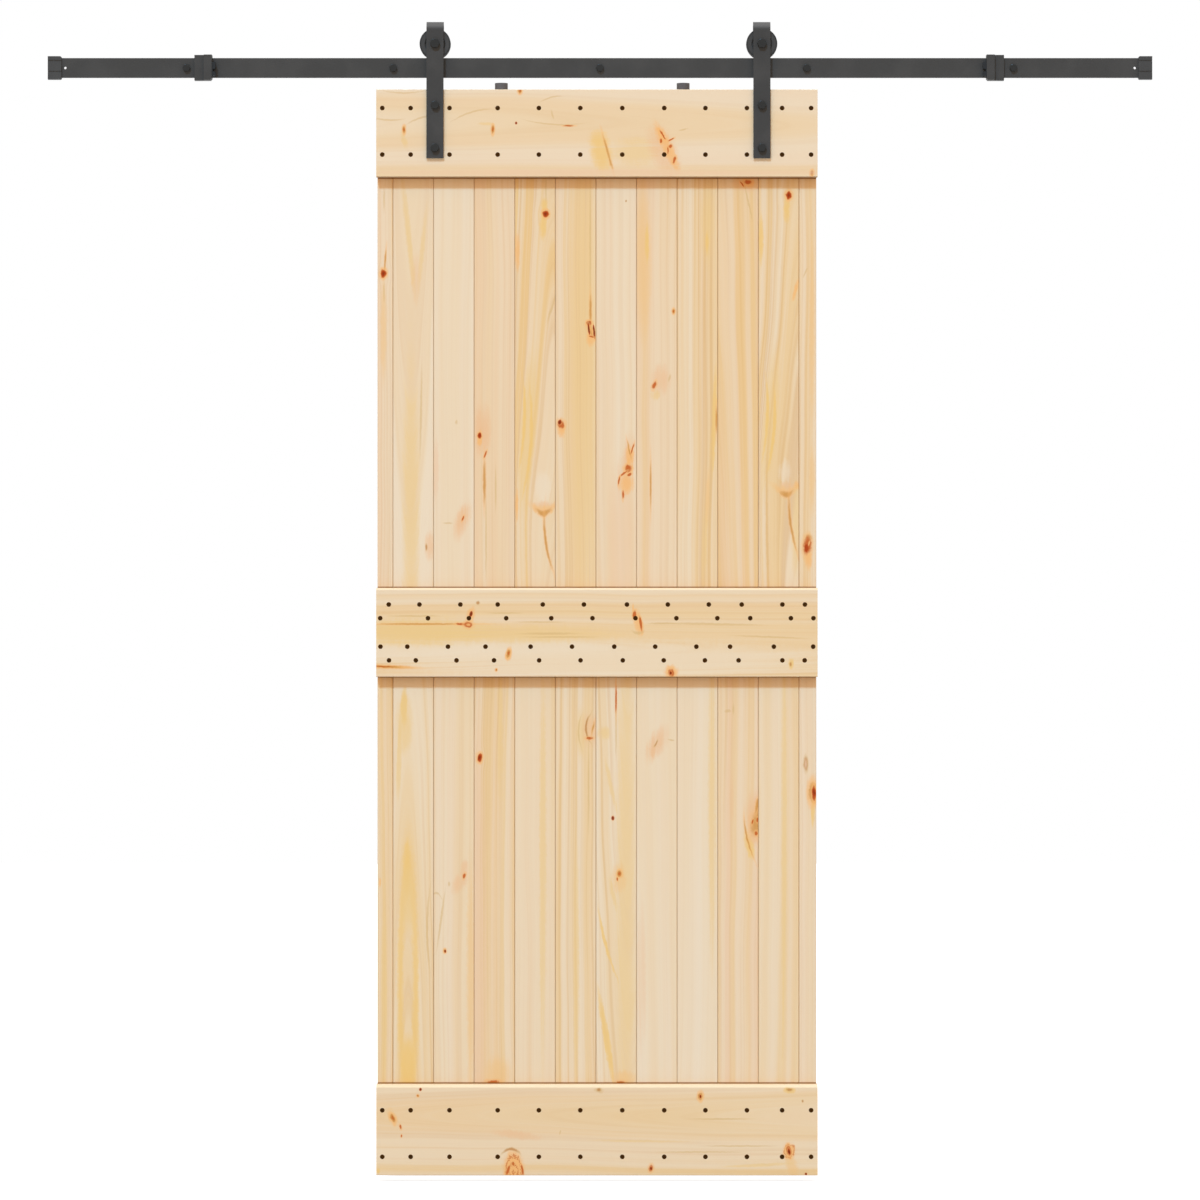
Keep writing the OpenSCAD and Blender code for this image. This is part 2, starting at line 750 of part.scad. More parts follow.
plank_lower(4);  // plank_lower_05
plank_lower(5);  // plank_lower_06
plank_lower(6);  // plank_lower_07
plank_lower(7);  // plank_lower_08
plank_lower(8);  // plank_lower_09
plank_lower(9);  // plank_lower_10
plank_lower(10);  // plank_lower_11
plank_lower(last_plank);  // plank_lower_12
board_top();
board_middle();
board_bottom();
board_screws(top_spots);  // top_board_screws
board_screws(concat(above_spots, below_spots));  // middle_board_screws
board_screws(bottom_spots);  // bottom_board_screws
hanger_strap(LEFT);  // hanger_strap_left
hanger_strap(RIGHT);  // hanger_strap_right
door_bolts();
door_washers();
door_nuts();
axle_bolts();
axle_nuts();
axle_sleeves();
bearing_inner(LEFT);  // bearing_inner_left
bearing_inner(RIGHT);  // bearing_inner_right
anti_jump_disc(LEFT);  // anti_jump_disc_left
anti_jump_disc(RIGHT);  // anti_jump_disc_right
disc_screws();
wheel(LEFT);  // wheel_left
bearing_outer(LEFT);  // bearing_outer_left
bearing_balls(LEFT);  // bearing_balls_left
wheel(RIGHT);  // wheel_right
bearing_outer(RIGHT);  // bearing_outer_right
bearing_balls(RIGHT);  // bearing_balls_right
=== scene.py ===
# %% [markdown]
# # A sliding barn door and its track
# The door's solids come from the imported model: planks, cross boards, straps, wheels, bolts.
# Everything here is about how those solids look: raw pine, powder-coated steel, rubber and
# moulded plastic, and a white studio around them. All lengths are metres, +Z is up, the
# viewer stands on the -Y side and the wall would be at y = 0.

# %% Load the frame
import math
import random
from collections import namedtuple

import bpy
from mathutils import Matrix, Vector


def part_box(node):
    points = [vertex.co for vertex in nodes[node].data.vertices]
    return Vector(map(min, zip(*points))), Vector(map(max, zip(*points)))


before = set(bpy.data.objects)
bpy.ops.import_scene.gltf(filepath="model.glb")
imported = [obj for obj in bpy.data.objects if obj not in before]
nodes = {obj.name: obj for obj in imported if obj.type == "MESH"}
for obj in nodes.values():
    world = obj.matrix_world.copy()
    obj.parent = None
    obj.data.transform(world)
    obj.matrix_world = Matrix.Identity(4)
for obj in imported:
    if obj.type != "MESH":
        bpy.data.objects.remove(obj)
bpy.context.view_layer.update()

# %% [markdown]
# ## The camera
# The photograph looks straight at the door and its verticals are upright, so the camera is level
# and stands at about the middle of the door's height. It is ten metres away: near enough for the
# bevels of the lower boards to show, far enough for the rest to look flat. One pixel of the
# 1200-pixel frame covers PIXEL metres on the front of the boards, and that fixes the lens.

# %% Camera
PIXEL = 1.9337e-3
FRAME_PIXELS = 1200
SENSOR_WIDTH = 36
CAMERA_DISTANCE = 10.0
CAMERA_HEIGHT = 1.1127
CAMERA_X = 0.0
board_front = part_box("board_top")[0].y
door_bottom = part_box("board_bottom")[0].z
camera_y = board_front - CAMERA_DISTANCE
camera_z = door_bottom + CAMERA_HEIGHT
frame_slope = PIXEL * FRAME_PIXELS / CAMERA_DISTANCE

camera_data = bpy.data.cameras.new("camera")
camera_data.sensor_width = SENSOR_WIDTH
camera_data.lens = SENSOR_WIDTH / frame_slope
camera = bpy.data.objects.new("camera", camera_data)
camera.location = (CAMERA_X, camera_y, camera_z)
camera.rotation_euler = (math.radians(90), 0, 0)
bpy.context.scene.collection.objects.link(camera)
bpy.context.scene.camera = camera
bpy.context.scene.view_settings.view_transform = "Standard"
print("lens", round(camera_data.lens, 2), "mm")


# %% [markdown]
# A knot of the wood is easiest to name by where it shows in the photograph. `from_pixel` turns
# such a place into x and z on a face that lies at a given depth.

# %% Places from pixels
def pixel_size(depth):
    return (depth - camera_y) * frame_slope / FRAME_PIXELS


def from_pixel(px, py, depth):
    middle = FRAME_PIXELS / 2
    right, down = (px - middle) * pixel_size(depth), (py - middle) * pixel_size(depth)
    return CAMERA_X + right, camera_z - down


print("the middle of the frame is at", from_pixel(FRAME_PIXELS / 2, FRAME_PIXELS / 2, board_front))


# %% [markdown]
# ## Shader arithmetic
# A material is a graph of nodes, and long graphs are hard to read when each link is made by
# hand. A `Wire` holds one socket and knows the usual operators, so `1 - mask * 0.5` adds the
# Math nodes by itself. `ease` is a smooth step from one value to another, `paint` lays a colour
# over the one before it, and every other node is made by `node`.

# %% Wires
class Wire:
    def __init__(self, tree, socket=None):
        self.tree = tree
        self.socket = socket

    def node(self, kind, settings=None, sockets=None, out=0):
        made = self.tree.nodes.new("ShaderNode" + kind)
        for key, value in (settings or {}).items():
            setattr(made, key, value)
        for key, value in (sockets or {}).items():
            if isinstance(value, Wire):
                self.tree.links.new(value.socket, made.inputs[key])
            else:
                made.inputs[key].default_value = value
        return Wire(self.tree, made.outputs[out])

    def math(self, operation, first, second=0.0):
        return self.node("Math", {"operation": operation}, {0: first, 1: second})

    def __add__(self, other):
        return self.math("ADD", self, other)

    def __sub__(self, other):
        return self.math("SUBTRACT", self, other)

    def __rsub__(self, other):
        return self.math("SUBTRACT", other, self)

    def __mul__(self, other):
        return self.math("MULTIPLY", self, other)

    def __truediv__(self, other):
        return self.math("DIVIDE", self, other)

    def __rtruediv__(self, other):
        return self.math("DIVIDE", other, self)

    __radd__ = __add__
    __rmul__ = __mul__

    def ease(self, low, high, to_low=0.0, to_high=1.0):
        return self.node(
            "MapRange",
            {"interpolation_type": "SMOOTHSTEP"},
            {"Value": self, "From Min": low, "From Max": high, "To Min": to_low, "To Max": to_high},
        )

    def blend(self, first, second, mask, how="MIX"):
        settings = {"data_type": "RGBA", "blend_type": how}
        return self.node("Mix", settings, {0: mask, 6: first, 7: second}, out=2)

    def paint(self, colour, mask):
        return self.blend(self, colour, mask)

    def noise(self, a, b, c, detail=2.0, roughness=0.5):
        spot = self.node("CombineXYZ", None, {0: a, 1: b, 2: c})
        sockets = {"Vector": spot, "Scale": 1.0, "Detail": detail, "Roughness": roughness}
        return self.node("TexNoise", None, sockets)


# %% [markdown]
# ## Helpers for materials
# Colours are easiest to name as they look on a screen, in levels from 0 to 255, but shaders add
# up light, so `srgb` turns levels into amounts of light. Every finish is a Principled shader and
# takes its place from the object's own coordinates. Those are metres in the shared frame, so a
# piece keeps its grain when it moves.

# %% Material helpers
SCREEN_LEVELS = 255


def srgb(red, green, blue):
    def linear(level):
        share = level / SCREEN_LEVELS
        return share / 12.92 if share <= 0.04045 else ((share + 0.055) / 1.055) ** 2.4

    return (linear(red), linear(green), linear(blue), 1.0)


def new_material(name):
    material = bpy.data.materials.new(name)
    material.use_nodes = True
    tree = material.node_tree
    shader = tree.nodes["Principled BSDF"]
    place = Wire(tree).node("TexCoord", out="Object")
    return material, shader, place


def axes(wire):
    return [wire.node("SeparateXYZ", None, {0: wire}, out=axis) for axis in "XYZ"]


def upward(wire):
    facing = wire.node("NewGeometry", out="Normal")
    return facing.node("SeparateXYZ", None, {0: facing}, out="Z")


def speckle(place, per_metre, detail):
    return place.node("TexNoise", None, {"Vector": place, "Scale": per_metre, "Detail": detail})


def connect(shader, **wires):
    for key, wire in wires.items():
        shader.id_data.links.new(wire.socket, shader.inputs[key.replace("_", " ")])


def wear(material, *names):
    for name in names:
        nodes[name].data.materials.clear()
        nodes[name].data.materials.append(material)


# %% [markdown]
# ## Pine
# A sawn board shows the year rings of its tree as lines along the grain. They could be drawn as
# lines on every face. Here the wood is made as a solid instead: the distance of a point from the
# tree's pith tells which ring it lies in, so the sawn ends get their end grain for free. Raw pine
# is pale with honey and rosy bands, and its knots go from amber to the brown of bark.

# %% Pine colours
PALE = srgb(235, 217, 189)
HONEY = srgb(231, 191, 122)
ROSE = srgb(233, 197, 160)
LINE = srgb(214, 166, 100)
STRAW = srgb(233, 198, 134)
GOLD = srgb(236, 195, 118)
GLOW = srgb(236, 192, 130)
PEACH = srgb(233, 188, 142)
AMBER = srgb(241, 182, 112)
TAN = srgb(212, 176, 116)
BROWN = srgb(188, 126, 66)
RESIN = srgb(206, 146, 72)
RUST = srgb(196, 98, 40)
CORE = srgb(172, 58, 10)
BARK = srgb(104, 40, 8)
# The next three colours are painted light: shade at the board seams and undersides, a highlight on the
# bevels, and shade on the flat ledges.
PAINTED_SHADE = srgb(140, 88, 40)
BEVEL_HIGHLIGHT = srgb(240, 218, 180)
LEDGE_SHADE = srgb(192, 154, 106)
print("pine is mixed between", PALE[:3], "and", HONEY[:3])

# %% [markdown]
# ### Knots, smudges and streaks
# A branch that the saw cuts across leaves a small red knot. Cut at a slant, it leaves a peach
# smudge, and resin runs along the grain as orange streaks. A kind of mark is two numbers, which
# say how much coarse noise and how much of the grain fray its edge, and a list of coats, painted
# one over the other: a colour, the squared distances where it begins and where it is full, and
# its strength there. A bend is no mark in itself. It only pushes the grain aside.

# %% Kinds of marks
KINDS = {
    "knot": (
        0.5,
        0.0,
        [(AMBER, 5.0, 1.2, 0.75), (RUST, 1.7, 0.9, 0.95), (CORE, 1.0, 0.4, 0.9), (BARK, 0.35, 0.0, 0.6)],
    ),
    "bud": (0.5, 0.0, [(AMBER, 4.5, 1.2, 0.7), (RESIN, 1.5, 0.5, 0.9), (RUST, 0.6, 0.0, 0.9)]),
    "speck": (0.5, 0.0, [(AMBER, 4.0, 1.3, 0.4), (CORE, 1.9, 1.0, 0.9), (BARK, 0.9, 0.2, 0.85)]),
    "core": (0.5, 0.0, [(CORE, 1.6, 0.4, 0.85)]),
    "smudge": (1.2, 1.0, [(PEACH, 2.0, -0.4, 0.7)]),
    "haze": (0.8, 1.2, [(PEACH, 2.0, -0.4, 0.4)]),
    "glow": (0.8, 1.0, [(GLOW, 2.0, -0.3, 0.65)]),
    "amber": (0.8, 0.5, [(AMBER, 1.8, -0.1, 0.8)]),
    "honey": (0.6, 1.5, [(STRAW, 2.0, -0.4, 0.65)]),
    "gold": (0.4, 1.0, [(GOLD, 1.7, -0.2, 0.85)]),
    "rose": (0.6, 1.2, [(ROSE, 1.8, -0.2, 0.7)]),
    "resin": (0.5, 0.0, [(AMBER, 4.0, 1.0, 0.35), (RESIN, 1.6, 0.0, 0.85)]),
    "rust": (0.6, 0.0, [(AMBER, 4.0, 1.2, 0.5), (RUST, 1.5, 0.3, 0.95)]),
    "thread": (0.3, 0.4, [(TAN, 1.7, -0.2, 0.55)]),
    "tan": (0.8, 0.3, [(TAN, 3.0, 1.0, 0.4), (BROWN, 1.6, 0.0, 0.75)]),
    "pale": (0.6, 1.2, [(PALE, 1.5, 0.0, 0.6)]),
    "bend": (0.0, 0.0, []),
}
print("kinds of marks:", ", ".join(KINDS))


# %% [markdown]
# Each mark is an ellipse: the squared distance from its centre is 1 on its edge. A high mark may
# lean to the right on its way up, a flat one may rise to the right, and both may be bowed. Two
# kinds have rings instead of coats: a loop is one golden ring, where the saw just touched a year
# of the tree, and an eye is a branch that shows its own years.

# %% Painting a mark
LOOP_RADIUS = 0.8
EYE_RIPPLES = 17.0
Mark = namedtuple("Mark", "x z half_x half_z lean kind bow")


def squared_distance(x, z, mark):
    right, up = x - mark.x, z - mark.z
    if mark.half_z > mark.half_x:
        share = up / mark.half_z
        side = (right - up * mark.lean - share * share * mark.bow) / mark.half_x
    else:
        share = right / mark.half_x
        side = (up - right * mark.lean - share * share * mark.bow) / mark.half_z
    return share * share + side * side


def paint_rings(colour, distance, rough, streaky, kind):
    radius = distance.math("SQRT", distance)
    if kind == "loop":
        band = distance.math("ABSOLUTE", radius - LOOP_RADIUS + rough * 0.2 + streaky * 0.12)
        return colour.paint(GOLD, band.ease(0.5, 0.05, 0, 0.75))
    colour = colour.paint(AMBER, radius.ease(1.25, 0.7, 0, 0.9))
    ripple = distance.math("SINE", (radius + rough * 0.5) * EYE_RIPPLES)
    return colour.paint(RUST, ripple.ease(0.2, 1.0, 0, 0.7) * radius.ease(1.1, 0.95))


def paint_mark(colour, distance, rough, streaky, kind):
    if kind in ("loop", "eye"):
        return paint_rings(colour, distance, rough, streaky, kind)
    fray, grain, coats = KINDS[kind]
    frayed = distance + rough * fray + streaky * grain
    for paint, begin, full, strength in coats:
        colour = colour.paint(paint, frayed.ease(begin, full, 0, strength))
    return colour


# %% [markdown]
# ### Grain round the knots
# A perfect ellipse looks stamped, so each mark is first swayed by noise. Then the lines of the
# grain are pushed aside near a knot, as they grow round a branch: the closer a point is, the more
# it takes the ring of the knot's own middle. Each noise has a shift of the seed to itself, so
# that no two of them follow each other.

# %% Grain round the knots
WARP_PER_METRE = (170.0, 90.0)
DRIFT_PER_METRE = (130.0, 70.0)
SWAY_X = 0.006
SWAY_Z = 0.012
KNOT_FADE = 0.12
KNOT_PULL = 0.7
SHIFTS = {"warp": 7.7, "drift": 8.8, "broad": 3.7, "blush": 5.3, "year": 9.1, "fibre": 1.9}


def swayed_distances(place, x, z, seed, marks):
    across, up = WARP_PER_METRE
    warp = place.noise(x * across, z * up, seed + SHIFTS["warp"], 2.0) - 0.5
    across, up = DRIFT_PER_METRE
    drift = place.noise(x * across, z * up, seed + SHIFTS["drift"], 1.0) - 0.5
    distances = []
    for mark in marks:
        swayed_x = x + warp * min(SWAY_X, mark.half_x)
        swayed_z = z + drift * min(SWAY_Z, mark.half_z)
        distances.append(squared_distance(swayed_x, swayed_z, mark))
    return distances


def bent_grain(place, across, upright, marks, distances):
    flow = across
    for mark, distance in zip(marks, distances):
        if mark.kind in ("knot", "bend"):
            pull = place.math("EXPONENT", distance * -KNOT_FADE)
            centre = mark.x if upright else mark.z
            flow = flow + (centre - across) * pull * KNOT_PULL
    return flow


# %% [markdown]
# ### Layers of the grain
# Four layers of noise are laid out by the distance from the pith and stretched along the grain:
# broad bands of colour, a rosy blush, the lines of the years and the fine fibres. Noise is used
# rather than even waves, because no two years of a tree are alike.

# %% Layers of the grain
BLUSHES_PER_METRE = 38.0
YEARS_PER_METRE = 190.0
FIBRES_PER_METRE = 620.0
BANDS_ALONG = 0.4
YEARS_ALONG = 0.5
FIBRES_ALONG = 2.5


def grain_layers(place, radius, length, seed, bands):
    def layer(per_metre, along, name, *fineness):
        return place.noise(radius * per_metre, length * along, seed + SHIFTS[name], *fineness)

    broad = layer(bands, BANDS_ALONG, "broad", 1.0).ease(0.36, 0.64)
    blush = layer(BLUSHES_PER_METRE, YEARS_ALONG, "blush", 1.0).ease(0.42, 0.66)
    year = layer(YEARS_PER_METRE, YEARS_ALONG, "year", 2.0).ease(0.48, 0.68)
    fibre = layer(FIBRES_PER_METRE, FIBRES_ALONG, "fibre", 2.0, 0.6)
    return broad, blush, year, fibre


# %% [markdown]
# ### Painted shade at seams, joints and under the boards
# Where a board lies on the planks a thin brown line of painted shade shows. The vees between the
# planks are painted a little darker than their faces, as shade. Just under the top and the middle
# board a warm painted shadow is multiplied into the planks, for light that has touched the wood
# before it gets there. Geometry and lamp make most of this shade, and the paint only adds what
# they lack. All of it stays on the front of the planks.

# %% Front of the planks
# Width, rise, heights and strength of the painted shade lines along the boards' edges.
SHADE_LINE_WIDTH = 0.0022
SHADE_LINE_RISE = 0.0012
SHADE_LINE_HEIGHTS = (
    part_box("board_top")[0].z - SHADE_LINE_RISE,
    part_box("board_middle")[1].z + SHADE_LINE_RISE,
    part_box("board_middle")[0].z,
    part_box("board_bottom")[1].z + SHADE_LINE_RISE,
)
# Where and how the warm painted shadow under the top and the middle board lies.
SHADOW_STRIP_TOPS = (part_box("board_top")[0].z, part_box("board_middle")[0].z)
SHADOW_STRIP_TINT = (1.0, 0.83, 0.64, 1.0)
SHADOW_STRIP_END = (0.0235, 0.019)
SHADOW_STRIP_START = (-0.03, -0.02)
SHADOW_STRIP_FADE = (0.0, 0.02, 1.0, 0.7)
FRONT_DEPTH = (0.004, 0.002)
SHADE_LINE_STRENGTH = 0.8
JOINT_SHADE_STRENGTH = 0.12


def paint_plank_front(colour, place, depth, z):
    front = depth.ease(*FRONT_DEPTH)
    # painted shade: a thin brown line along each edge of a board
    for height in SHADE_LINE_HEIGHTS:
        near = place.math("ABSOLUTE", z - height)
        line = near.ease(SHADE_LINE_WIDTH, SHADE_LINE_WIDTH * 0.4, 0, SHADE_LINE_STRENGTH)
        colour = colour.paint(PAINTED_SHADE, line * front)
    # painted shade in the vees between the planks
    facing = place.node("TexCoord", out="Normal")
    turned = place.math("ABSOLUTE", facing.node("SeparateXYZ", None, {0: facing}, out="X"))
    colour = colour.paint(LINE, turned.ease(0.4, 0.6, 0, JOINT_SHADE_STRENGTH) * front)
    # painted shadow: a warm tint multiplied into the strip under the top and the middle board
    for height in SHADOW_STRIP_TOPS:
        below = height - z
        strip = below.ease(*SHADOW_STRIP_END) * below.ease(*SHADOW_STRIP_START)
        strip = strip * below.ease(*SHADOW_STRIP_FADE) * front
        colour = colour.blend(colour, SHADOW_STRIP_TINT, strip, "MULTIPLY")
    return colour


print("seams at", [round(height, 4) for height in SHADE_LINE_HEIGHTS])


# %% [markdown]
# ### Painted light on the edges of the boards
# The bevel on top of a board gets a painted highlight, paler than the face. The narrow ledge behind
# it gets a darker line of painted shade, and the underside a brown painted shade. Which of the three a
# point lies on is told by how far its surface looks upward.

# %% Edges of the boards
def paint_board_edges(colour, place):
    lift = upward(place)
    # painted highlight on the bevels, painted shade on the flat ledges and the undersides
    colour = colour.paint(BEVEL_HIGHLIGHT, lift.ease(0.4, 0.7, 0, 0.5))
    colour = colour.paint(LEDGE_SHADE, lift.ease(0.8, 0.98, 0, 0.9))
    return colour.paint(PAINTED_SHADE, lift.ease(-0.5, -0.9, 0, 0.45))


# %% [markdown]
# ### The pine material
# Planks come from different trees. A look is seven numbers: how yellow the plank is, how rosy,
# how strong its year lines are, how many colour bands fit in a metre, how far the pith of its
# tree lies to the right of its middle, how deep under its face, and how fast it sinks on the way
# up. A pith close behind a plank gives arches, one far to the side gives straight lines. The
# boards lie on their side, so for them up and right change places.

# %% Pine material
COARSE_PER_METRE = 420.0
WANDER = 0.03
WANDERS_ACROSS = 3.0
WANDERS_ALONG = 1.6
FIBRE_HEIGHT = 0.0003
FIBRE_STRENGTH = 0.12
PINE_ROUGHNESS = (0.52, 0.66)
PINE_GLOSS = 0.12


def pine(name, upright, seed, look, marks):
    tone, rosy, lines, bands, pith_across, pith_depth, lean = look
    material, shader, place = new_material(name)
    x, y, z = axes(place)
    low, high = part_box(name)
    middle_x, middle_z = (low.x + high.x) / 2, (low.z + high.z) / 2
    across, length = (x, z) if upright else (z, x)
    middle_across, middle_length = (middle_x, middle_z) if upright else (middle_z, middle_x)
    depth = y - low.y

    distances = swayed_distances(place, x, z, seed, marks)
    flow = bent_grain(place, across, upright, marks, distances)
    wander = place.noise(flow * WANDERS_ACROSS, length * WANDERS_ALONG, seed, 2.0) - 0.5
    pith_side = flow + wander * WANDER - (middle_across + pith_across)
    pith_below = (length - middle_length) * lean + depth + pith_depth
    radius = place.math("SQRT", pith_side * pith_side + pith_below * pith_below)
    broad, blush, year, fibre = grain_layers(place, radius, length, seed, bands)

    colour = place.blend(PALE, HONEY, broad * (0.15 + 0.5 * tone) + 0.35 * tone)
    colour = colour.paint(ROSE, blush * (0.1 + 0.5 * rosy) + 0.3 * rosy)
    colour = colour.paint(LINE, year * lines)
    colour = colour.paint(LINE, fibre.ease(0.52, 0.78, 0, 0.05 + 0.35 * lines))
    colour = colour.paint(PALE, fibre.ease(0.48, 0.28, 0, 0.06 + 0.4 * lines))
    rough = speckle(place, COARSE_PER_METRE, 3.0) - 0.5
    streaky = (year - 0.5) * 0.5 + (fibre - 0.5) * 1.5
    for mark, distance in zip(marks, distances):
        colour = paint_mark(colour, distance, rough, streaky, mark.kind)
    if upright:
        colour = paint_plank_front(colour, place, depth, z)
    else:
        colour = paint_board_edges(colour, place)

    relief = {"Height": fibre, "Strength": FIBRE_STRENGTH, "Distance": FIBRE_HEIGHT}
    bump = place.node("Bump", None, relief)
    roughness = fibre.ease(0.3, 0.7, *PINE_ROUGHNESS)
    connect(shader, Base_Color=colour, Roughness=roughness, Normal=bump)
    shader.inputs["Specular IOR Level"].default_value = PINE_GLOSS
    return material


# %% [markdown]
# ### The marks of this door
# Each entry is a place in the photograph's 1200-pixel frame, the width and height of the mark
# there, its lean, its kind and, for a bowed one, how far its two ends bend to the right or up.
# Pieces are named as in the model.

